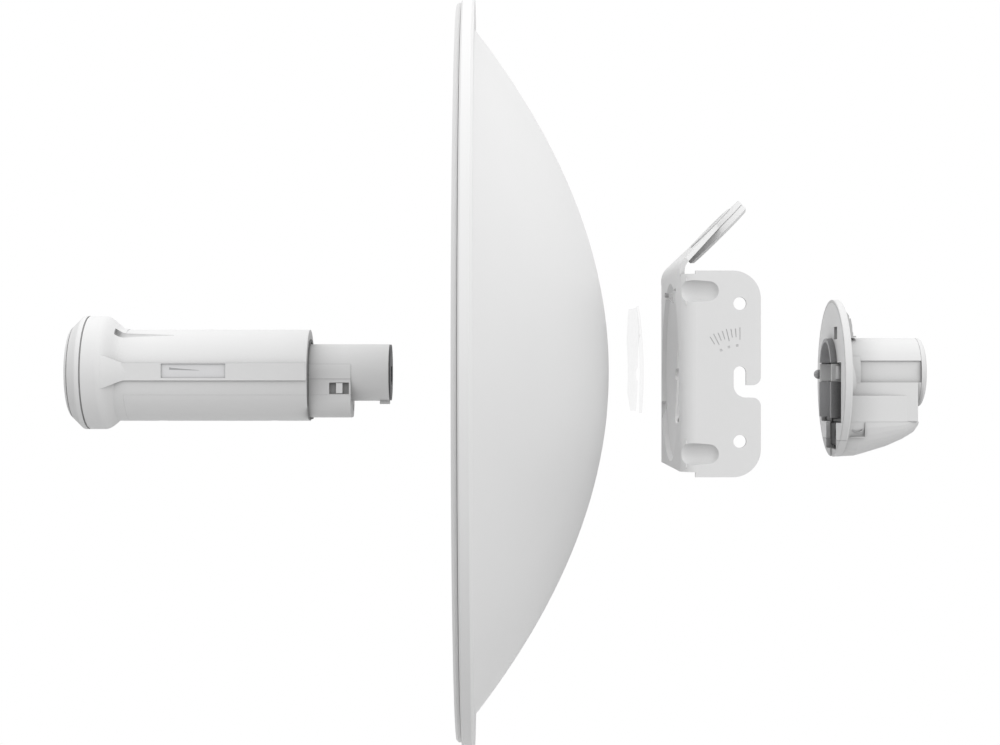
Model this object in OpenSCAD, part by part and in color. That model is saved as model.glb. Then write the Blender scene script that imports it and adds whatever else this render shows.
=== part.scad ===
// Dish antenna for a point-to-point radio link, drawn apart along its boresight.
// +X runs to the rear, the dish looks along -X, and +Z is up.
// The origin is the elevation pivot, midway between the bracket's two ears.

/* [Dish] */
// Outside radius of the rim
rim_r = 210; // [195:1:225]
// Focal length of the paraboloid
focal = 121.5; // [115:0.5:130]
// Place of the back of the bowl's vertex
dish_x = -66.5; // [-75:0.5:-62]
// Radius at which the bowl meets the rim flange
bowl_r = 191; // [185:1:195]
// Thickness of the dish sheet
dish_wall = 1.5; // [1:0.1:2.5]

/* [Feed] */
// Front face of the feed's cap
feed_front_x = -369.3; // [-375:0.5:-365]
// Radius of the feed's head
head_r = 32; // [30:0.5:34]
// Radius of the feed's body
body_r = 25.75; // [24:0.25:27]
// Height of the body's own axis
body_z = -1.55; // [-2.5:0.05:0]
// Place of the shoulder where the body ends
shoulder_x = -234.9; // [-240:0.5:-230]
// Radius of the neck
neck_r = 16; // [15:0.5:16]
// Open end of the neck
neck_end_x = -189; // [-192:0.5:-185]
// Rear end of the block under the neck
block_end_x = -211.1; // [-214:0.5:-208]
// Depth of the block below the axis
block_drop = 25.3; // [24:0.1:25.5]
// Height of the seam between the two shells
seam_z = -12.4; // [-14:0.1:-11]

/* [Bracket] */
// Front face of the bracket's plate
plate_x = -31.4; // [-34:0.2:-31]
// Half of the bracket's outside width
ear_y = 62; // [58:0.5:66]
// Thickness of the sheet steel
sheet = 2.5; // [2:0.1:3]
// Rear edge of the ears
ear_rear_x = 11.2; // [10:0.2:14]
// Top of the ears
ear_top_z = 54.4; // [50:0.2:58]
// Bottom of the ears
ear_bottom_z = -55.9; // [-60:0.2:-52]
// Height of the two ear holes above and below the pivot
hole_z = 36.8; // [33:0.2:40]
// Radius of the ear holes
hole_r = 3.45; // [3.2:0.05:3.6]
// Half of the width of the hook slot
slot_r = 3.3; // [3.2:0.05:3.6]
// Radius of the stamped seat for the dish
seat_r = 48; // [45:1:49]
// Length of the inclined tab to the middle of its eye
tab_len = 28; // [26:0.5:32]
// Outside radius of the eye
eye_r = 22; // [20:0.5:24]

/* [Housing] */
// Front face of the housing's disc
disc_x = 59.7; // [59.7:0.1:62]
// Radius of the disc
disc_r = 44.4; // [42:0.2:45]
// Height of the disc's centre
disc_z = -3.2; // [-4:0.1:-2]
// Radius of the rear barrel
barrel_r = 19.5; // [19.4:0.1:20.5]
// Rear end of the barrel
barrel_end_x = 110; // [108:0.5:116]
// Height of the seam above the cable door
door_z = -27.4; // [-28:0.1:-27]
// Outside radius of the latch collar
collar_r = 19.2; // [19:0.1:19.3]
// Front edge of the latch collar
collar_x = 56.3; // [56.3:0.1:58]

/* [Hidden] */
$fn = 96;
shade = "whitesmoke";
steel = "gainsboro";
gap = 0.15;
far = 400;

// Feed
cap_back_x = -359.2;
bezel_back_x = -351;
flare_end_x = -337.2;
body_wall = 2.2;
lower_start_x = -336.5;
fine_gap = 0.06;
inner_r = body_r - body_wall;
rib_top = 5.2;
rib_low = -4.4;
rib_y = body_r + 1.1;
root_x = -350;
root_len = 16;
root_spread = 4.6;
window_x0 = -315;
window_x1 = -279.5;
block_corner = 9;
latch_x0 = -223;
latch_x1 = -212;
latch_top = -5.6;
tongue_x0 = -219.2;
tongue_x1 = -215.6;
board_z = -9;
board_front_x = -334;
board_rear_x = -225;
jack_front_x = -209;
tube_end_x = neck_end_x - 1;
button_y = 9;
button_z = -20;
screw_x = [-318, -255];

// Dish
flange_x = dish_x - 75;
flange_front_x = flange_x - 6.8;
lip_r = rim_r - 4.5;
lip_front_x = flange_front_x - 3.1;
key_r = collar_r + 0.6;
key_drop = block_drop + 0.8;
peg_y = 23.5;
peg_r = 2.7;

// Pad
pad_x = -48.2;
pad_wall = 1.2;

// Bracket
seat_x = plate_x + 7;
bend_r = 8;
tab_bend_r = 8;
tab_root_y = 56;
front_top_z = 52.7;
front_bottom_z = -53.2;
front_step_x = -23.7;
tab_root_z = 54.3;
eye_hole_r = 12.5;
groove_r = 6.2;
groove_depth = 2.8;
groove_z = 43.5;
groove_end_x = -16.4;
groove_tilt = 8;

// Housing
dome_wall = 2;
barrel_wall = 2.9;
cap_front_x = barrel_end_x - 3.2;
body_end_x = 104.6;
sleeve_r = neck_r + 1.2;
tail_x = 106.4;
channel_y = 15.5;
channel_low = -43;
grommet_y = 15.8;
grommet_low = -41;
crease_z = -12.9;
step_z = -7.9;
rim_seam_z = -37.5;
pod_top_z = -16;
finger_z = 4.8;
finger_tip_x = 56.6;
finger_root_x = 65.5;
collar_back_x = 69.5;
bump_y = collar_r + 1.25;
shell_x = disc_x + 2.6;
collar_foot_x = shell_x + 0.05;
collar_foot = 1;
pocket_y = 31;
pocket_top = 5.6;
pocket_low = -28;
panel_y = 17.4;
panel_x = 72.7;
peg_tip_x = 54;

// A cylinder along X
module rod(r, x0, x1, y = 0, z = 0) {
    translate([x0, y, z]) rotate([0, 90, 0]) cylinder(r = r, h = x1 - x0);
}

// A solid of revolution about X, from [radius, x] points
module turned(z = 0) {
    translate([0, 0, z]) rotate([0, 90, 0]) rotate_extrude($fn = 180) children();
}

// An outline drawn in Y and Z, extruded from x0 to x1
module along_x(x0, x1) {
    translate([x0, 0, 0]) rotate([90, 0, 90]) linear_extrude(x1 - x0) children();
}

// An outline drawn in X and Z, extruded from y0 to y1
module along_y(y0, y1) {
    translate([0, y1, 0]) rotate([90, 0, 0]) linear_extrude(y1 - y0) children();
}

// A block given by its two corners
module block(low, high) {
    translate(low) cube(high - low);
}

// A rectangle with round corners, from its lower left corner
module round_rect(w, h, r) {
    translate([r, 0]) square([w - 2 * r, h]);
    translate([0, r]) square([w, h - 2 * r]);
    for (x = [r, w - r], y = [r, h - r]) translate([x, y]) circle(r);
}

// A keyhole: a circle that runs down with straight sides to a rounded foot
module keyhole(r, drop, corner = 6) {
    circle(r);
    translate([-r, -drop]) difference() {
        round_rect(2 * r, drop + corner, corner);
        translate([-1, drop]) square([2 * r + 2, corner + 1]);
    }
}

// Both sides of the object
module both_sides() {
    children();
    mirror([0, 1, 0]) children();
}

// Notch beside the keyhole that lets the locating peg through
module peg_notch(x0, x1, room) {
    rod(peg_r + room, x0, x1, y = peg_y, z = -1);
    block([x0, 12, -1 - peg_r - room], [x1, peg_y, -1 + peg_r + room]);
}

// Back of a paraboloid whose vertex is at x, as [radius, x] points
function bowl(x, r0, r1, steps) =
    [for (i = [0:steps]) let (r = r0 + (r1 - r0) * i / steps) [r, x - r * r / (4 * focal)]];
function reversed(list) = [for (i = [len(list) - 1:-1:0]) list[i]];

// ---- Dish ----

module dish_reflector() {
    color(shade) difference() {
        turned() polygon(concat(
            bowl(dish_x - dish_wall, 0, bowl_r, 26),
            [[bowl_r + 1, flange_x - dish_wall], [rim_r - dish_wall, flange_x - dish_wall]],
            [[rim_r - dish_wall, flange_front_x], [rim_r - 0.7, flange_front_x]],
            [[rim_r, flange_front_x + 0.9], [rim_r, flange_x - 1.4], [rim_r - 1.4, flange_x]],
            reversed(bowl(dish_x, 0, bowl_r, 26))));
        along_x(dish_x - 6, dish_x + 1) keyhole(key_r, key_drop, block_corner);
        peg_notch(dish_x - 6, dish_x + 1, 0.6);
    }
}

module rim_trim() {
    root_x = flange_x - dish_wall - gap;
    color(shade) turned() polygon([
        [bowl_r + 4, root_x], [bowl_r + 4, lip_front_x + 1.2], [bowl_r + 5, lip_front_x],
        [lip_r - 1.2, lip_front_x], [lip_r, lip_front_x + 1.2], [lip_r, flange_front_x - 0.4],
        [lip_r - 2.5, flange_front_x - 0.4], [lip_r - 2.5, flange_front_x + 0.6],
        [rim_r - dish_wall - gap, flange_front_x + 0.6], [rim_r - dish_wall - gap, root_x]]);
}

// ---- Mounting pad ----

module mounting_pad() {
    color("white") difference() {
        intersection() {
            turned() polygon(concat(
                bowl(pad_x, 0, 58, 12), reversed(bowl(pad_x + pad_wall, 0, 58, 12))));
            rod(seat_r - 0.7, pad_x - 12, pad_x + 3);
            along_x(pad_x - 12, pad_x + 3)
                polygon([[-44, -12], [-44, 31], [-37, 36.7], [37, 36.7], [44, 31], [44, -12],
                         [34, -22.2], [-34, -22.2]]);
        }
        along_x(pad_x - 12, pad_x + 3) keyhole(collar_r + 2.2, 60);
        peg_notch(pad_x - 12, pad_x + 3, 0.9);
    }
}

// ---- Bracket ----

// Outline of an ear, with its round rear corners and its step at the bend
module ear_outline() {
    top_r = 15;
    difference() {
        union() {
            translate([plate_x, front_bottom_z])
                square([ear_rear_x - top_r - plate_x, front_top_z - front_bottom_z]);
            translate([front_step_x, ear_bottom_z])
                square([ear_rear_x - top_r - front_step_x, ear_top_z - ear_bottom_z]);
            translate([front_step_x, ear_bottom_z])
                round_rect(ear_rear_x - front_step_x, ear_top_z - ear_bottom_z, top_r);
        }
        hook_slot();
        for (z = [-hole_z, hole_z]) translate([0, z]) circle(hole_r);
    }
}

// Hook slot: up from the rear edge to the pivot, so that a bolt drops in and hangs
module hook_slot() {
    arm_top = -6.8;
    arm_low = -13.4;
    turn_r = 6.5;
    mouth_r = 4.5;
    circle(slot_r);
    translate([-slot_r, arm_top]) square([2 * slot_r, -arm_top]);
    translate([turn_r - slot_r, arm_low]) square([ear_rear_x, arm_top - arm_low]);
    intersection() {
        translate([turn_r - slot_r, arm_low + turn_r]) circle(turn_r);
        translate([-slot_r, arm_low]) square([turn_r, turn_r + 1]);
    }
    for (side = [-1, 1]) translate([ear_rear_x, side > 0 ? arm_top : arm_low]) difference() {
        translate([-mouth_r, side > 0 ? -0.1 : -mouth_r]) square([mouth_r + 1, mouth_r + 0.1]);
        translate([-mouth_r, side * mouth_r]) circle(mouth_r);
    }
}

// Graduations of the elevation scale, cut lightly into an ear
module angle_scale() {
    for (i = [0:7])
        translate([0, -ear_y, -7]) rotate([0, -i * 4.5, 0])
            translate([-0.2, -0.1, i % 3 == 0 ? 24.5 : 26]) cube([0.4, 0.35, i % 3 == 0 ? 6.5 : 4.5]);
    for (i = [0:2])
        translate([0, -ear_y, -7]) rotate([0, -4 - i * 12, 0])
            translate([-0.6, -0.1, 20.8]) cube([1.2, 0.35, 1.2]);
}

// Stamped seat that follows the back of the bowl
module dish_seat() {
    turned() polygon(concat(
        bowl(seat_x, 0, seat_r, 10),
        [[seat_r + 2.2, plate_x], [seat_r + 5, plate_x]],
        [[seat_r + 5, plate_x + sheet], [seat_r + 3.4, plate_x + sheet]],
        reversed(bowl(seat_x + sheet, 0, seat_r + 1, 10))));
}

// Tab bent back from the top of the plate, with an eye at its end
module eye_tab() {
    outer = tab_bend_r + sheet;
    along_y(-tab_root_y, tab_root_y) translate([plate_x + outer, tab_root_z])
        polygon(concat(
            [for (i = [0:6]) let (a = 180 - i * 7.5) outer * [cos(a), sin(a)]],
            [for (i = [6:-1:0]) let (a = 180 - i * 7.5) tab_bend_r * [cos(a), sin(a)]]));
    at_tab() rotate([90, 0, 90]) linear_extrude(sheet) difference() {
        union() {
            polygon([[-tab_root_y, -0.2], [tab_root_y, -0.2], [eye_r, tab_len + 1],
                     [-eye_r, tab_len + 1]]);
            translate([0, tab_len]) circle(eye_r);
        }
        translate([0, tab_len]) circle(eye_hole_r);
    }
}

// Frame of the inclined tab: X through its thickness, Z along it
module at_tab() {
    translate([plate_x + tab_bend_r + sheet, 0, tab_root_z]) rotate([0, 45, 0])
        translate([-tab_bend_r - sheet, 0, 0]) children();
}

// Frame of a stiffening groove: X along it from its rear end, deeper towards the front
module at_groove(z) {
    translate([groove_end_x, ear_y + groove_r - groove_depth, z]) rotate([0, 0, groove_tilt])
        children();
}

module bracket() {
    inner_y = ear_y - sheet;
    color(steel) difference() {
        union() {
            // Channel of bent sheet, cut to the outline of the ears
            intersection() {
                translate([0, 0, -far / 2]) linear_extrude(far) difference() {
                    translate([plate_x, -ear_y]) round_rect(far, 2 * ear_y, bend_r);
                    translate([plate_x + sheet, -inner_y])
                        round_rect(far, 2 * inner_y, bend_r - sheet);
                    translate([plate_x - 1, 0]) circle(0.1);
                }
                along_y(-ear_y - 1, ear_y + 1) ear_outline();
            }
            block([plate_x, -tab_root_y, front_top_z - 1],
                  [plate_x + sheet, tab_root_y, tab_root_z]);
            eye_tab();
            dish_seat();
            // Inner face of each stiffening groove
            both_sides() for (z = [-groove_z, groove_z]) intersection() {
                at_groove(z) rod(groove_r + 1.8, -13, 8.4);
                block([plate_x + 0.6, inner_y - 5, z - 9], [groove_end_x + 8, inner_y + 1, z + 9]);
            }
        }
        // Room inside the stamped seat
        turned() polygon(concat(
            [[0, plate_x - 9]], [[seat_r + 2.15, plate_x - 9], [seat_r + 2.15, plate_x - 0.01]],
            reversed(bowl(seat_x, 0, seat_r, 10))));
        // Stiffening grooves across each bend
        both_sides() for (z = [-groove_z, groove_z]) at_groove(z) {
            rod(groove_r, -20, 0);
            sphere(r = groove_r);
        }
        // Way through for the collar, the feed and the peg
        along_x(plate_x - 2, plate_x + 12) keyhole(collar_r + 1.8, 29);
        peg_notch(plate_x - 2, plate_x + 12, 0.6);
        // Slots in the plate for straps and for a second fixing
        both_sides() along_x(plate_x - 2, plate_x + 12)
            translate([43.2, -27]) round_rect(8, 10, 1.2);
        both_sides() along_x(plate_x - 2, plate_x + 12)
            polygon([[14, 39.5], [14, 45], [32, 46.5], [33, 44]]);
        both_sides() angle_scale();
    }
}

module eye_grommet() {
    bore_r = eye_hole_r - 1.6;
    back = sheet + 0.05;
    color(steel) at_tab() translate([0, 0, tab_len]) turned() polygon([
        [bore_r, -0.4], [bore_r + 0.5, -0.9], [eye_hole_r + 2.2, -0.9], [eye_hole_r + 2.8, -0.3],
        [eye_hole_r + 2.8, -0.05], [eye_hole_r - 0.05, -0.05], [eye_hole_r - 0.05, back],
        [eye_r - 0.4, back], [eye_r - 0.1, back + 0.6], [eye_r - 0.1, sheet + 3.4],
        [eye_r - 1.5, sheet + 4.7], [bore_r + 1.5, sheet + 4.7], [bore_r, sheet + 3.4]]);
}

// ---- Feed ----

module feed_front_cap() {
    color(shade) turned() polygon([
        [0, feed_front_x], [24.4, feed_front_x], [25.3, feed_front_x + 0.5],
        [26.2, feed_front_x + 1.4], [25.8, feed_front_x + 1.9], [26.9, feed_front_x + 2.1],
        [31.2, -362.8], [31.8, -362.1], [head_r, -361.4], [head_r, cap_back_x - 0.35],
        [head_r - 0.7, cap_back_x - 0.35], [head_r - 0.7, cap_back_x], [head_r - 3, cap_back_x],
        [24, feed_front_x + 2.6], [0, feed_front_x + 2.6]]);
}

// Outside of the head and the body, with the concave flare between them
module body_outside() {
    flare_foot_r = body_r - 1.3;
    flare_x = bezel_back_x + 0.4;
    head_front_x = cap_back_x + gap;
    turned() polygon(concat(
        [[0, head_front_x], [head_r - 0.7, head_front_x], [head_r - 0.7, head_front_x + 0.4],
         [head_r, head_front_x + 0.4]],
        [for (a = [0:15:180]) [flare_foot_r + (head_r - flare_foot_r) * (1 + cos(a)) / 2,
                               flare_x + (flare_end_x - flare_x) * a / 180]],
        [[0, flare_end_x]]));
    rod(body_r, -348, shoulder_x, z = body_z);
    both_sides() along_x(-346, shoulder_x)
        translate([body_r - 6, rib_low]) square([rib_y - body_r + 6, rib_top - rib_low]);
    // Root of each side rib, swept out onto the head
    both_sides() intersection() {
        turned() polygon(concat(
            [[0, root_x]],
            [for (a = [0:15:180]) [rib_y + (head_r - 0.5 - rib_y) * (1 + cos(a)) / 2,
                                   root_x + root_len * a / 180]],
            [[0, root_x + root_len]]));
        along_y(12, 40) polygon(concat(
            [for (a = [0:15:180]) [root_x + root_len * a / 180,
                                   rib_low - root_spread * (1 + cos(a)) / 2]],
            [for (a = [180:-15:0]) [root_x + root_len * a / 180,
                                    rib_top + root_spread * (1 + cos(a)) / 2]]));
    }
}

// Outside of the neck and of the block under it
module neck_outside() {
    rod(neck_r, shoulder_x - 1, tube_end_x);
    along_x(shoulder_x - 1, block_end_x) keyhole(neck_r, block_drop, block_corner);
    // Raised band along each side
    both_sides() along_x(shoulder_x - 1, block_end_x) intersection() {
        keyhole(neck_r + 0.3, block_drop, block_corner);
        translate([neck_r - 4, -3.4]) square([5, 8]);
    }
    along_x(-195.5, tube_end_x) translate([-3, -17.8]) square([6, 4]);
}

// Space inside the feed shells
module feed_hollow() {
    rod(head_r - 3, cap_back_x - 1, bezel_back_x + 0.6);
    rod(inner_r, bezel_back_x, shoulder_x - body_wall, z = body_z);
    rod(neck_r - 2, shoulder_x - 10, neck_end_x + 1);
    along_x(shoulder_x - 10, block_end_x - 2)
        keyhole(neck_r - 2, block_drop - 2, block_corner - 2);
    // Windows for the lenses and the latch tongues
    both_sides() block([window_x0, inner_r - 3, -3], [window_x1, rib_y + 1, 4.9]);
    both_sides() block([latch_x0, neck_r - 3, -12], [latch_x1, neck_r + 1, latch_top]);
}

module feed_upper_shell() {
    color(shade) difference() {
        intersection() {
            body_outside();
            union() {
                block([-360, -40, seam_z], [shoulder_x, 40, 40]);
                block([-360, -40, -40], [lower_start_x, 40, 40]);
            }
        }
        feed_hollow();
        // Tapered finger grooves behind the head
        both_sides() translate([0, 0, body_z]) rotate([-29.8, 0, 0])
            translate([-343, 0, body_r + 1.3]) rotate([0, 92, 0])
                cylinder(r1 = 3.2, r2 = 0.3, h = 33);
    }
}

module feed_lower_shell() {
    color(shade) difference() {
        intersection() {
            body_outside();
            block([lower_start_x + fine_gap, -40, -40], [shoulder_x, 40, seam_z - fine_gap]);
        }
        feed_hollow();
        for (x = screw_x) translate([x, 0, body_z - body_r - 1]) {
            cylinder(r = 1.7, h = 5);
            cylinder(r = 3.2, h = 2.6);
        }
    }
}

// Neck with the upper part of the block, and a pocket wall behind each latch tongue
module feed_neck() {
    color(shade) {
        difference() {
            intersection() {
                neck_outside();
                union() {
                    block([shoulder_x + gap / 2, -40, seam_z], [neck_end_x, 40, 40]);
                    rod(neck_r, shoulder_x + gap / 2, tube_end_x);
                    block([-196, -4, -18], [neck_end_x, 4, -10]);
                }
            }
            feed_hollow();
        }
        both_sides() block([latch_x0 - 0.6, neck_r - 4.6, -12.2],
                           [latch_x1 + 0.6, neck_r - 3.2, -4]);
    }
}

// Lower part of the block under the neck
module feed_block() {
    color(shade) difference() {
        intersection() {
            neck_outside();
            block([shoulder_x + gap / 2, -40, -40], [block_end_x, 40, seam_z - fine_gap]);
        }
        feed_hollow();
        rod(neck_r + gap, shoulder_x - 1, neck_end_x + 1);
        rod(2, block_end_x - 4, block_end_x + 1, y = button_y, z = button_z);
    }
}

// Window over the status lights, one on each side
module status_lenses() {
    color("lightgray") both_sides() block([window_x0 + 0.05, inner_r - 0.4, -2.95],
                                          [window_x1 - 0.05, rib_y - 0.7, 4.85]);
}

module radiator_disc() {
    color("goldenrod") turned() polygon([
        [0, -365.4], [18, -365.4], [18, -364.6], [3, -363.4], [3, -357.2], [0, -357.2]]);
}

module radiator_board() {
    color("darkgreen") rod(22, -357.1, -355.5);
}

module radiator_patches() {
    color("peru") for (y = [-9, 9], z = [-9, 9])
        translate([-357.45, y - 4.5, z - 4.5]) cube([0.3, 9, 9]);
}

module feed_waveguide() {
    color("silver") difference() {
        rod(10, -355.4, board_front_x - 0.5);
        rod(8.5, -353.5, board_front_x + 1);
    }
}

module main_board() {
    color("darkgreen") block([board_front_x, -13, board_z - 1.6], [board_rear_x, 13, board_z]);
}

module shield_cans() {
    color("silver") for (x = [-326, -290, -256])
        block([x, -10, board_z + 0.05], [x + 26, 10, board_z + 4.5]);
}

module heat_spreader() {
    color("silver") block([-325, -9, board_z - 5.5], [-245, 9, board_z - 1.7]);
}

module ethernet_jack() {
    color("dimgray") difference() {
        union() {
            rod(neck_r - 2.1, jack_front_x, neck_end_x);
            rod(neck_r - 0.2, tube_end_x + 0.05, neck_end_x);
        }
        block([jack_front_x + 3, -6, -5], [neck_end_x + 1, 6, 3.5]);
        block([jack_front_x + 3, -3, -7], [neck_end_x + 1, 3, -4]);
    }
}

module reset_button() {
    color("dimgray") {
        rod(1.7, block_end_x - 6, block_end_x - 0.2, y = button_y, z = button_z);
        rod(2.8, block_end_x - 6, block_end_x - 4.2, y = button_y, z = button_z);
    }
}

module shell_screws() {
    color("silver") for (x = screw_x) translate([x, 0, body_z - body_r]) {
        translate([0, 0, 0.6]) cylinder(r = 2.9, h = 0.9);
        translate([0, 0, 0.6]) cylinder(r = 1.5, h = 5);
    }
}

module shoulder_seal() {
    color("dimgray") along_x(shoulder_x + gap / 2, shoulder_x + 0.7) difference() {
        keyhole(neck_r + 2.8, block_drop + 1.2, block_corner);
        keyhole(neck_r + 1.05, block_drop + 0.2, block_corner);
    }
}

// Snap tongue in the side window of the block
module latch_tongue(side) {
    scale_y = side > 0 ? 0 : 1;
    mirror([0, scale_y, 0]) {
        block([tongue_x0, neck_r - 1.9, -11.6], [tongue_x1, neck_r - 0.2, latch_top - 0.25]);
        translate([tongue_x0, neck_r - 1.05, latch_top - 0.6]) rotate([0, 90, 0])
            cylinder(r = 0.5, h = tongue_x1 - tongue_x0);
    }
}

module feed_latch_near() {
    color(shade) latch_tongue(-1);
}

module feed_latch_far() {
    color(shade) latch_tongue(1);
}

// ---- Housing ----

// Back of the rim and its fillet into the barrel, as [radius, x] points
rim_back = [[disc_r, disc_x + 3.4], [disc_r - 0.5, disc_x + 4.1], [40, disc_x + 4.6],
            [33.5, disc_x + 5.4], [26, disc_x + 6.5], [22, disc_x + 7.9], [20.3, disc_x + 10.3],
            [18, disc_x + 12.3]];

// Hump that runs down the back of the rim to the top of the barrel
module top_hump() {
    along_y(-9, 9) difference() {
        polygon([[shell_x, 39.6], [64.4, 36.6], [67.5, 33], [69.2, 30.3], [70, 26.5], [70.2, 22.8],
                 [72.5, 19.8], [shell_x, 18]]);
        translate([68.3, 30.4]) square([3, 4.2]);
        translate([70.6, 20.6]) square([4, 2.2]);
    }
}

// Lower pod, swept from the rim to the tail as a row of rounded sections
module pod(inset) {
    station_x = [disc_x + 0.6, 71.6, 77.3, 88.6, 97.5, 103.6, tail_x];
    foot_z = [-47.4, -46.9, -45.2, -41.5, -37.2, -33.3, -30];
    half_w = [23, 21.6, 20.5, 19.9, 19.7, 18.4, 14.5];
    corners = [19, 18, 16, 13, 10, 8, 6];
    top_z = inset > 0 ? pod_top_z : crease_z;
    hull() for (i = [0:6]) {
        w = half_w[i] - inset;
        x = max(disc_x + 1.3 * inset + 0.6, min(station_x[i], tail_x - inset));
        for (side = [-1, 1])
            rod(corners[i] - inset, x - 0.2, x, y = side * (half_w[i] - corners[i]),
                z = foot_z[i] + corners[i], $fn = 32);
        block([x - 0.2, -w, -24], [x, w, top_z]);
    }
}

// Solid outside of the housing, without the pod
module housing_outside() {
    turned(disc_z) polygon(concat(
        [[0, shell_x], [disc_r - 1.75, shell_x], [disc_r - 1.75, disc_x], [disc_r - 0.3, disc_x]],
        [[disc_r, disc_x + 0.3]], rim_back, [[0, disc_x + 12.3]]));
    top_hump();
    rod(barrel_r, disc_x + 5, cap_front_x - gap);
    along_x(disc_x + 4, body_end_x) keyhole(barrel_r, -door_z, 0.6);
    // Step at the root of the barrel
    both_sides() intersection() {
        rod(barrel_r + 0.9, disc_x + 4, panel_x);
        block([disc_x + 4, 12, step_z], [panel_x, 30, 9]);
    }
}

// Space inside the housing
module housing_hollow() {
    rod(barrel_r - barrel_wall, disc_x, barrel_end_x);
    along_x(disc_x, collar_back_x + gap) keyhole(collar_r + gap, 40, 1);
    along_x(disc_x, body_end_x - dome_wall) keyhole(barrel_r - barrel_wall, 40, 1);
    // Seat of the collar's foot
    block([disc_x, -pocket_y - 0.6, pocket_low - 0.6],
          [collar_foot_x + collar_foot + 0.05, pocket_y + 0.6, pocket_top + 0.6]);
    rod(collar_r + 3 + gap, disc_x, collar_foot_x + collar_foot + 0.05);
    // Room for the fingers
    block([disc_x, -collar_r - 0.3, -finger_z - 0.3],
          [finger_root_x + 1.5, collar_r + 0.3, finger_z + 0.8]);
}

module housing_shell() {
    color(shade) difference() {
        union() {
            housing_outside();
            intersection() {
                pod(0);
                union() {
                    block([shell_x + 0.4, -60, rim_seam_z], [64.7, 60, step_z]);
                    block([shell_x + 0.4, -60, door_z], [body_end_x - 0.4, 60, step_z]);
                }
            }
        }
        housing_hollow();
        pod(2);
        // Room for the cable door
        block([64.8, -60, -60], [130, 60, door_z + 0.01]);
        block([disc_x - 1, -60, -60], [66, 60, rim_seam_z]);
        // Slot for a tool, which goes on through the disc
        block([disc_x, -18.7, 18.5], [disc_x + 5, -9.3, 25.5]);
        // Flat panels let into the sides of the barrel
        both_sides() block([panel_x, panel_y, -5.5], [cap_front_x + 1, barrel_r + 3, 6.6]);
    }
}

module housing_disc() {
    color(shade) difference() {
        rod(disc_r - 1.8, disc_x, shell_x - gap, z = disc_z);
        along_x(disc_x - 1, disc_x + 9) keyhole(collar_r + gap, 29);
        // Pockets beside the collar, where the fingers spring out
        both_sides() block([disc_x - 1, 0, pocket_low], [disc_x + 9, pocket_y, pocket_top]);
        along_x(disc_x - 1, disc_x + 9)
            translate([-channel_y, channel_low]) square([2 * channel_y, 20]);
        // Slot for a tool beside the collar
        along_x(disc_x - 1, disc_x + 9) translate([-18.7, 18.5]) square([9.4, 7]);
        // The cable door takes over the lowest part of the rim
        block([disc_x - 1, -60, -60], [disc_x + 9, 60, rim_seam_z]);
    }
}

module latch_collar() {
    color("darkgray") difference() {
        union() {
            along_x(collar_x, collar_back_x) keyhole(collar_r, block_drop, 1);
            rod(collar_r + 3, collar_foot_x, collar_foot_x + collar_foot);
            block([collar_foot_x, -pocket_y - 0.5, pocket_low - 0.5],
                  [collar_foot_x + collar_foot, pocket_y + 0.5, pocket_top + 0.5]);
        }
        along_x(collar_x - 1, collar_back_x + 1) keyhole(sleeve_r, 40, 1);
        both_sides() block([collar_x - 1, 12, -finger_z - 0.4],
                           [finger_root_x + 1.5, bump_y + 0.3, finger_z + 0.8]);
    }
}

// Sprung finger of the collar, with its round release pad
module snap_finger(side) {
    inner_y = sleeve_r + 0.2;
    outer_y = collar_r - 0.1;
    mirror([0, side > 0 ? 0 : 1, 0]) {
        block([finger_tip_x, inner_y, -finger_z], [finger_root_x, outer_y, finger_z]);
        translate([finger_root_x, (inner_y + outer_y) / 2, -finger_z])
            cylinder(r = (outer_y - inner_y) / 2, h = 2 * finger_z);
        intersection() {
            translate([60.8, collar_r - 0.8, -3.6]) cylinder(r = 2.1, h = 7.2);
            block([58, collar_r - 1, -4], [63, bump_y, 4]);
        }
    }
}

module snap_finger_near() {
    color(shade) snap_finger(-1);
}

module snap_finger_far() {
    color(shade) snap_finger(1);
}

module locating_peg() {
    color("darkgray") {
        rod(peg_r, peg_tip_x + peg_r, collar_foot_x - 0.02, y = peg_y, z = -1);
        translate([peg_tip_x + peg_r, peg_y, -1]) sphere(r = peg_r);
    }
}

module rear_cap() {
    color(shade) turned() polygon([
        [0, cap_front_x - 2], [barrel_r - barrel_wall - 0.1, cap_front_x - 2],
        [barrel_r - barrel_wall - 0.1, cap_front_x], [barrel_r, cap_front_x],
        [barrel_r, barrel_end_x - 1.8], [barrel_r - 0.7, barrel_end_x - 0.7],
        [barrel_r - 2.2, barrel_end_x], [0, barrel_end_x]]);
}

module cable_grommet() {
    color("dimgray") difference() {
        block([shell_x + 0.1, -grommet_y, grommet_low],
              [shell_x + 3.3, grommet_y, pocket_low - 0.8]);
        rod(3.3, disc_x, disc_x + 8, z = -35);
    }
}

module cable_door() {
    color(shade) difference() {
        union() {
            intersection() {
                pod(0);
                block([64.9, -60, -60], [130, 60, door_z - 0.1]);
            }
            intersection() {
                union() {
                    pod(0);
                    rod(disc_r - 0.1, disc_x, disc_x + 4, z = disc_z);
                }
                block([disc_x - 1, -60, -60], [66, 60, rim_seam_z - 0.15]);
            }
        }
        pod(2);
        // Seat of the grommet
        block([shell_x, -grommet_y - 0.3, grommet_low - 0.3],
              [shell_x + 3.6, grommet_y + 0.3, rim_seam_z]);
        // Channel for the cable, and its way out through the rim
        block([disc_x - 1, -channel_y, channel_low], [disc_x + 4, channel_y, -37]);
        block([disc_x - 1, -3.2, -60], [disc_x + 4, 3.2, channel_low + 1]);
    }
}

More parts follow.
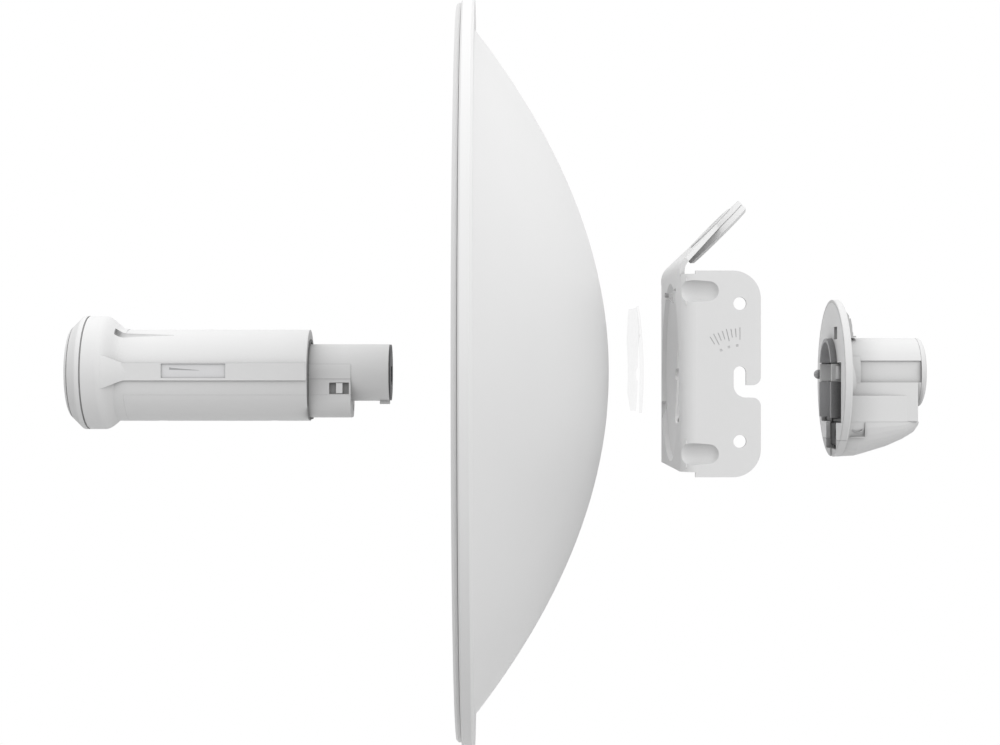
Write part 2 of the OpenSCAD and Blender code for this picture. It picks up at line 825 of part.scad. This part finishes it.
bracket();
eye_grommet();
dish_reflector();
rim_trim();
mounting_pad();
feed_front_cap();
feed_upper_shell();
feed_lower_shell();
feed_neck();
feed_block();
status_lenses();
radiator_disc();
radiator_board();
radiator_patches();
feed_waveguide();
main_board();
shield_cans();
heat_spreader();
ethernet_jack();
reset_button();
shell_screws();
shoulder_seal();
feed_latch_near();
feed_latch_far();
housing_shell();
housing_disc();
latch_collar();
snap_finger_near();
snap_finger_far();
locating_peg();
rear_cap();
cable_grommet();
cable_door();
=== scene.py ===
"""Looks of a dish antenna that is laid out along its axis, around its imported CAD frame."""

import math

import bmesh
import bpy
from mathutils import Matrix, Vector


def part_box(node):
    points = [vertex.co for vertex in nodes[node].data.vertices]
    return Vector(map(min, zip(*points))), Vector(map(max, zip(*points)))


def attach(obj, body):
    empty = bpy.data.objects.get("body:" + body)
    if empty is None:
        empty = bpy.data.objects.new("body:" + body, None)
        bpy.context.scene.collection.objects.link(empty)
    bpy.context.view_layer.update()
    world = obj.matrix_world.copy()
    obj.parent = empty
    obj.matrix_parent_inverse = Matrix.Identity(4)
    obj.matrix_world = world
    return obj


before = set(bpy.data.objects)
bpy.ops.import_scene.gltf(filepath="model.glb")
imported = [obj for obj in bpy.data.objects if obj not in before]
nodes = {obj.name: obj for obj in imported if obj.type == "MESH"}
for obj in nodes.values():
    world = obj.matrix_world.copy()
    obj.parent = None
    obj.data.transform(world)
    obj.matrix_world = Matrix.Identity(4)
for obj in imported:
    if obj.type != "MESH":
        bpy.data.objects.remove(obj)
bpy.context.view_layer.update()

# ---- Camera, world and floor ----

# Metres, but SENSOR and FOCAL are millimetres and SHIFT_X is a share of the sensor.
VIEW_DISTANCE = 1.0754
VIEW_X = -0.1333
SENSOR = 36.0
FOCAL = 68.4
SHIFT_X = 0.010
CLIP_END = 30.0
FLOOR_Z = -0.55
FLOOR_R = 1.5
FLOOR_SIDES = 96

# The surround lights by (height from -1 to 1, brightness) stops.
SURROUND_STOPS = [(-1.0, 0.52), (-0.3, 0.13), (0.25, 0.60), (1.0, 0.92)]
SURROUND_STRENGTH = 1.5
LIGHT_PLACE = (0.9, -2.0, 0.5)
LIGHT_AIM = (-0.1, 0.0, 0.0)
LIGHT_SIZE = 2.4
LIGHT_POWER = 17.0


def add_camera():
    """Level camera that looks along +Y at the middle of the row of parts."""
    data = bpy.data.cameras.new("photo_camera")
    data.sensor_width = SENSOR
    data.lens = FOCAL
    data.shift_x = SHIFT_X
    data.clip_end = CLIP_END
    camera = bpy.data.objects.new("photo_camera", data)
    camera.location = (VIEW_X, -VIEW_DISTANCE, 0.0)
    camera.rotation_euler = (math.radians(90.0), 0.0, 0.0)
    bpy.context.scene.collection.objects.link(camera)
    bpy.context.scene.camera = camera


def add_world(stops, strength):
    """Surround that the camera sees as white, and that lights the parts by its stops."""
    world = bpy.data.worlds.new("studio")
    world.use_nodes = True
    bpy.context.scene.world = world
    tree = world.node_tree
    tree.nodes.clear()
    out = tree.nodes.new("ShaderNodeOutputWorld")
    mix = tree.nodes.new("ShaderNodeMixShader")
    seen = tree.nodes.new("ShaderNodeBackground")
    lit = tree.nodes.new("ShaderNodeBackground")
    path = tree.nodes.new("ShaderNodeLightPath")
    coords = tree.nodes.new("ShaderNodeTexCoord")
    split = tree.nodes.new("ShaderNodeSeparateXYZ")
    ramp = tree.nodes.new("ShaderNodeValToRGB")
    span = tree.nodes.new("ShaderNodeMapRange")
    span.inputs["From Min"].default_value = -1.0
    for height, _ in stops[1:-1]:
        ramp.color_ramp.elements.new((height + 1.0) / 2.0)
    for element, (_, bright) in zip(ramp.color_ramp.elements, stops):
        element.color = (bright, bright, bright, 1.0)
    tree.links.new(coords.outputs["Generated"], split.inputs[0])
    tree.links.new(split.outputs["Z"], span.inputs["Value"])
    tree.links.new(span.outputs[0], ramp.inputs[0])
    tree.links.new(ramp.outputs[0], lit.inputs["Color"])
    tree.links.new(path.outputs["Is Camera Ray"], mix.inputs[0])
    tree.links.new(lit.outputs[0], mix.inputs[1])
    tree.links.new(seen.outputs[0], mix.inputs[2])
    tree.links.new(mix.outputs[0], out.inputs["Surface"])
    seen.inputs["Color"].default_value = (1.0, 1.0, 1.0, 1.0)
    lit.inputs["Strength"].default_value = strength


def add_area(name, place, aim, size, power):
    """Soft square light at a place, aimed at a point."""
    data = bpy.data.lights.new(name, "AREA")
    data.size = size
    data.energy = power
    lamp = bpy.data.objects.new(name, data)
    lamp.location = place
    lamp.rotation_euler = (Vector(aim) - Vector(place)).to_track_quat("-Z", "Y").to_euler()
    lamp.visible_camera = False
    bpy.context.scene.collection.objects.link(lamp)


def add_floor():
    """Round pale floor, well below the hanging parts. It throws no diffuse light on them."""
    mesh = bpy.data.meshes.new("floor")
    bm = bmesh.new()
    bmesh.ops.create_circle(bm, cap_ends=True, radius=FLOOR_R, segments=FLOOR_SIDES)
    bm.to_mesh(mesh)
    bm.free()
    floor = bpy.data.objects.new("floor", mesh)
    floor.location = (VIEW_X, 0.0, FLOOR_Z)
    floor.visible_diffuse = False
    bpy.context.scene.collection.objects.link(floor)
    floor.data.materials.append(surface("floor_paint", (0.82, 0.82, 0.82), rough=0.9, drift=0.01))


# ---- Materials ----

# Scales are per metre, and depths and reaches are metres.
DRIFT_SCALE = 14.0
DRIFT_DETAIL = 4.0
GRAIN_DETAIL = 3.0
GRAIN_DEPTH = 0.0002
LEAST_ROUGH = 0.02
ROUGH_VARY = 0.05
# Reach and samples of the painted shade in crevices.
CREVICE_SHADE_REACH = 0.02
CREVICE_SHADE_SAMPLES = 8

# Painted shade in crevices: the share of the colour lost, and how open to the sky the surface is where
# that is full and where it ends.
PLAIN_CREVICE_SHADE = (0.55, 0.3, 1.0)
DISH_CREVICE_SHADE = (0.12, 0.15, 0.85)
GREY_CREVICE_SHADE = (0.85, 0.45, 1.0)

# Pads on the circuit boards: pads per metre, their colour, and where their edge starts and ends in a cell.
PAD_SCALE = 420.0
PAD_COLOR = (0.5, 0.4, 0.2)
PAD_EDGE = (0.12, 0.16)
FILM_ALPHA = 0.07


def noise(tree, vector, scale, detail):
    """Noise texture read along a vector output."""
    node = tree.nodes.new("ShaderNodeTexNoise")
    node.inputs["Scale"].default_value = scale
    node.inputs["Detail"].default_value = detail
    tree.links.new(vector, node.inputs["Vector"])
    return node.outputs[0]


def two_tone(tree, factor, low, high, start=0.3, end=0.7):
    """Colour that runs from low to high as a factor goes from start to end."""
    ramp = tree.nodes.new("ShaderNodeValToRGB")
    ramp.color_ramp.elements[0].position = start
    ramp.color_ramp.elements[1].position = end
    ramp.color_ramp.elements[0].color = (*low, 1.0)
    ramp.color_ramp.elements[1].color = (*high, 1.0)
    tree.links.new(factor, ramp.inputs[0])
    return ramp.outputs[0]


def add_pads(tree, place, base):
    """Colour with square pads over it, one in each cell."""
    cells = tree.nodes.new("ShaderNodeTexVoronoi")
    cells.distance = "CHEBYCHEV"
    cells.inputs["Scale"].default_value = PAD_SCALE
    tree.links.new(place, cells.inputs["Vector"])
    mask = two_tone(tree, cells.outputs["Distance"], (1.0,) * 3, (0.0,) * 3, *PAD_EDGE)
    blend = tree.nodes.new("ShaderNodeMix")
    blend.data_type = "RGBA"
    tree.links.new(mask, blend.inputs["Factor"])
    tree.links.new(base, blend.inputs["A"])
    blend.inputs["B"].default_value = (*PAD_COLOR, 1.0)
    return blend.outputs["Result"]


def paint_crevice_shade(tree, base, share, full, none):
    """Colour that loses a share of itself where the surface is closed in: painted shade in crevices."""
    shelter = tree.nodes.new("ShaderNodeAmbientOcclusion")
    shelter.samples = CREVICE_SHADE_SAMPLES
    shelter.inputs["Distance"].default_value = CREVICE_SHADE_REACH
    shade = two_tone(tree, shelter.outputs["AO"], (1.0 - share,) * 3, (1.0,) * 3, full, none)
    blend = tree.nodes.new("ShaderNodeMix")
    blend.data_type = "RGBA"
    blend.blend_type = "MULTIPLY"
    blend.inputs["Factor"].default_value = 1.0
    tree.links.new(base, blend.inputs["A"])
    tree.links.new(shade, blend.inputs["B"])
    return blend.outputs["Result"]


def surface(name, color, rough, drift=0.008, grain=2000.0, relief=0.1, metal=0.0, stretch=None,
            pads=False, crevice_shade=PLAIN_CREVICE_SHADE):
    """Surface with a faint colour drift, uneven gloss, a fine grain and painted shade in its crevices.

    relief is the strength of the grain. stretch scales the grain's axes, so that it is drawn out
    as on brushed metal. pads is for a circuit board. crevice_shade is one of the painted shade triples
    above.
    """
    mat = bpy.data.materials.new(name)
    mat.use_nodes = True
    tree = mat.node_tree
    shader = tree.nodes["Principled BSDF"]
    shader.inputs["Metallic"].default_value = metal
    coords = tree.nodes.new("ShaderNodeTexCoord")
    place = coords.outputs["Object"]
    clouds = noise(tree, place, DRIFT_SCALE, DRIFT_DETAIL)
    low = [max(0.0, c - drift) for c in color]
    high = [min(1.0, c + drift) for c in color]
    base = two_tone(tree, clouds, low, high)
    if pads:
        base = add_pads(tree, place, base)
    # Painted shade: the colour darkens where the surface is closed in.
    base = paint_crevice_shade(tree, base, *crevice_shade)
    tree.links.new(base, shader.inputs["Base Color"])
    gloss = tree.nodes.new("ShaderNodeMapRange")
    gloss.inputs["To Min"].default_value = max(LEAST_ROUGH, rough - ROUGH_VARY)
    gloss.inputs["To Max"].default_value = min(1.0, rough + ROUGH_VARY)
    tree.links.new(clouds, gloss.inputs["Value"])
    tree.links.new(gloss.outputs[0], shader.inputs["Roughness"])
    if stretch:
        drawn = tree.nodes.new("ShaderNodeMapping")
        drawn.inputs["Scale"].default_value = stretch
        tree.links.new(place, drawn.inputs["Vector"])
        place = drawn.outputs[0]
    bump = tree.nodes.new("ShaderNodeBump")
    bump.inputs["Strength"].default_value = relief
    bump.inputs["Distance"].default_value = GRAIN_DEPTH
    tree.links.new(noise(tree, place, grain, GRAIN_DETAIL), bump.inputs["Height"])
    tree.links.new(bump.outputs[0], shader.inputs["Normal"])
    return mat


WHITE = surface("white_plastic", (0.79, 0.79, 0.79), rough=0.5, grain=2200.0, relief=0.08)
DISH = surface("dish_powder_coat", (0.80, 0.80, 0.80), rough=0.45, grain=1300.0, relief=0.08,
               crevice_shade=DISH_CREVICE_SHADE)
STEEL = surface("bracket_powder_coat", (0.75, 0.75, 0.75), rough=0.5, grain=300.0, relief=0.02)
SHELL = surface("shell_plastic", (0.72, 0.72, 0.72), rough=0.5, grain=2200.0, relief=0.08)
# Lighter copy of the white plastic for the housing disc: painted light on its face, which the lamp and
# surround light less.
FACE_PAINTED_LIGHT = surface("face_plastic_painted_light", (0.92, 0.92, 0.92), rough=0.5, grain=2200.0, relief=0.08)
GREY = surface("grey_plastic", (0.50, 0.50, 0.51), rough=0.5, drift=0.012, relief=0.10,
               crevice_shade=GREY_CREVICE_SHADE)
DARK = surface("dark_plastic", (0.05, 0.05, 0.055), rough=0.4, drift=0.006, relief=0.15)
RUBBER = surface("seal_rubber", (0.10, 0.10, 0.10), rough=0.75, drift=0.012, grain=900.0, relief=0.25)
SEAL = surface("grey_rubber", (0.26, 0.26, 0.26), rough=0.7, drift=0.012, grain=900.0, relief=0.2)
LENS = surface("lens_plastic", (0.79, 0.79, 0.80), rough=0.3, grain=2600.0, relief=0.03)
FILM = surface("pad_film", (0.95, 0.95, 0.96), rough=0.35, grain=500.0, relief=0.1)
FILM.node_tree.nodes["Principled BSDF"].inputs["Alpha"].default_value = FILM_ALPHA
BOARD = surface("circuit_board", (0.02, 0.16, 0.07), rough=0.35, drift=0.006, pads=True)
METAL = surface("brushed_metal", (0.62, 0.62, 0.63), rough=0.35, drift=0.02, grain=700.0, relief=0.2,
                metal=1.0, stretch=(0.05, 1.0, 1.0))
BRASS = surface("plated_brass", (0.72, 0.52, 0.24), rough=0.3, drift=0.02, grain=900.0, relief=0.1,
                metal=1.0)
MATERIALS = {
    DISH: ("dish_reflector", "rim_trim"),
    STEEL: ("bracket", "eye_grommet"),
    FILM: ("mounting_pad",),
    SHELL: ("housing_shell", "rear_cap", "cable_door", "feed_neck", "feed_block"),
    FACE_PAINTED_LIGHT: ("housing_disc",),
    GREY: ("latch_collar", "locating_peg"),
    DARK: ("ethernet_jack", "reset_button"),
    SEAL: ("shoulder_seal",),
    RUBBER: ("cable_grommet",),
    LENS: ("status_lenses",),
    BOARD: ("radiator_board", "main_board"),
    METAL: ("feed_waveguide", "shield_cans", "heat_spreader", "shell_screws"),
    BRASS: ("radiator_disc", "radiator_patches"),
}


def dress_nodes():
    """Every CAD node gets its finish. Those that MATERIALS doesn't list are white plastic."""
    chosen = {name: mat for mat, names in MATERIALS.items() for name in names}
    for name, obj in nodes.items():
        obj.data.materials.clear()
        obj.data.materials.append(chosen.get(name, WHITE))


# ---- Small details, in metres and degrees ----

def solid(name, outline, start, depth, mat, body):
    """Prism from an outline of (x, z) points, raised along +Y from start, riding on a body."""
    bm = bmesh.new()
    rings = []
    for y in (start, start + depth):
        rings.append([bm.verts.new((x, y, z)) for x, z in outline])
    count = len(outline)
    bm.faces.new(rings[0])
    bm.faces.new(reversed(rings[1]))
    for i in range(count):
        j = (i + 1) % count
        bm.faces.new((rings[0][j], rings[0][i], rings[1][i], rings[1][j]))
    bmesh.ops.recalc_face_normals(bm, faces=bm.faces)
    mesh = bpy.data.meshes.new(name)
    bm.to_mesh(mesh)
    bm.free()
    obj = bpy.data.objects.new(name, mesh)
    bpy.context.scene.collection.objects.link(obj)
    mesh.materials.append(mat)
    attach(obj, body)


def box(name):
    """Low and high corners of a CAD node."""
    low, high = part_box(name)
    return Vector(low), Vector(high)


def add_signal_mark():
    """Wedge printed on each lens: the sign of a signal that rises.

    Its corners are measured up or down from the middle line.
    """
    low, high = box("status_lenses")
    inset = 0.0045
    length = 0.0165
    lift = 0.0007
    left_foot = 0.0001
    left_top = 0.0012
    bevel = 0.0012
    bevel_top = 0.0009
    tip_top = 0.0004
    tip_foot = 0.0005
    thick = 0.00008
    start = low.x + inset
    end = start + length
    middle = (low.z + high.z) / 2 + lift
    wedge = [(start, middle - left_foot), (start, middle + left_top), (start + bevel, middle + bevel_top),
             (end, middle - tip_top), (end, middle - tip_foot)]
    ink = surface("printed_ink", (0.42, 0.42, 0.43), rough=0.6, drift=0.01)
    solid("signal_mark_near", wedge, low.y - thick / 2, thick, ink, "feed_body")
    solid("signal_mark_far", wedge, high.y - thick / 2, thick, ink, "feed_body")


def add_thumb_mark():
    """Raised frame and thumb arc on each side of the cable door.

    skin_y is how far the outer faces of the marks are from the middle plane.
    """
    low, high = box("cable_door")
    size = 0.0082
    line = 0.0003
    deep = 0.0016
    skin_y = 0.0223
    inset = 0.0068
    gap = 0.0004
    left = low.x + inset
    foot = high.z - size - gap
    bars = [
        [(left, foot), (left + size, foot), (left + size, foot + line), (left, foot + line)],
        [(left + size, foot), (left + size + line, foot), (left + size + line, foot + size),
         (left + size, foot + size)],
    ]
    inner_radius = 0.0028
    outer_radius = 0.0031
    first_angle = 200.0
    angle_step = 14.0
    arc_points = 11
    squash = 0.7
    centre_rise = 0.62
    centre = Vector((left + size / 2, foot + size * centre_rise))
    angles = [math.radians(first_angle + angle_step * i) for i in range(arc_points)]
    sweep = [(inner_radius, a) for a in angles] + [(outer_radius, a) for a in reversed(angles)]
    arc = [(centre.x + radius * math.cos(a), centre.y + radius * squash * math.sin(a))
           for radius, a in sweep]
    for side, y in {"near": -skin_y, "far": skin_y - deep}.items():
        for i, outline in enumerate(bars + [arc]):
            solid("thumb_mark_%s_%d" % (side, i + 1), outline, y, deep, SHELL, "door_body")


def add_jack_contacts():
    """Sprung contacts in the roof of the network jack, with heights above the feed's axis."""
    _, high = box("ethernet_jack")
    count = 8
    pitch = 0.00102
    width = 0.0004
    roof = 0.0035
    rear_foot = 0.0031
    bend_foot = 0.0012
    tip_foot = 0.0014
    inset = 0.012
    length = 0.009
    bend_length = 0.002
    front = high.x - inset
    rear = front + length
    bend = front + bend_length
    profile = [(front, roof), (rear, roof), (rear, rear_foot), (bend, bend_foot), (front, tip_foot)]
    for i in range(count):
        y = (i - (count - 1) / 2) * pitch
        solid("jack_contact_%d" % (i + 1), profile, y - width / 2, width, BRASS, "feed_body")


add_camera()
add_world(SURROUND_STOPS, SURROUND_STRENGTH)
add_floor()
add_area("front_light", LIGHT_PLACE, LIGHT_AIM, LIGHT_SIZE, LIGHT_POWER)
dress_nodes()
add_signal_mark()
add_jack_contacts()
add_thumb_mark()

bpy.context.scene.view_settings.view_transform = "Standard"
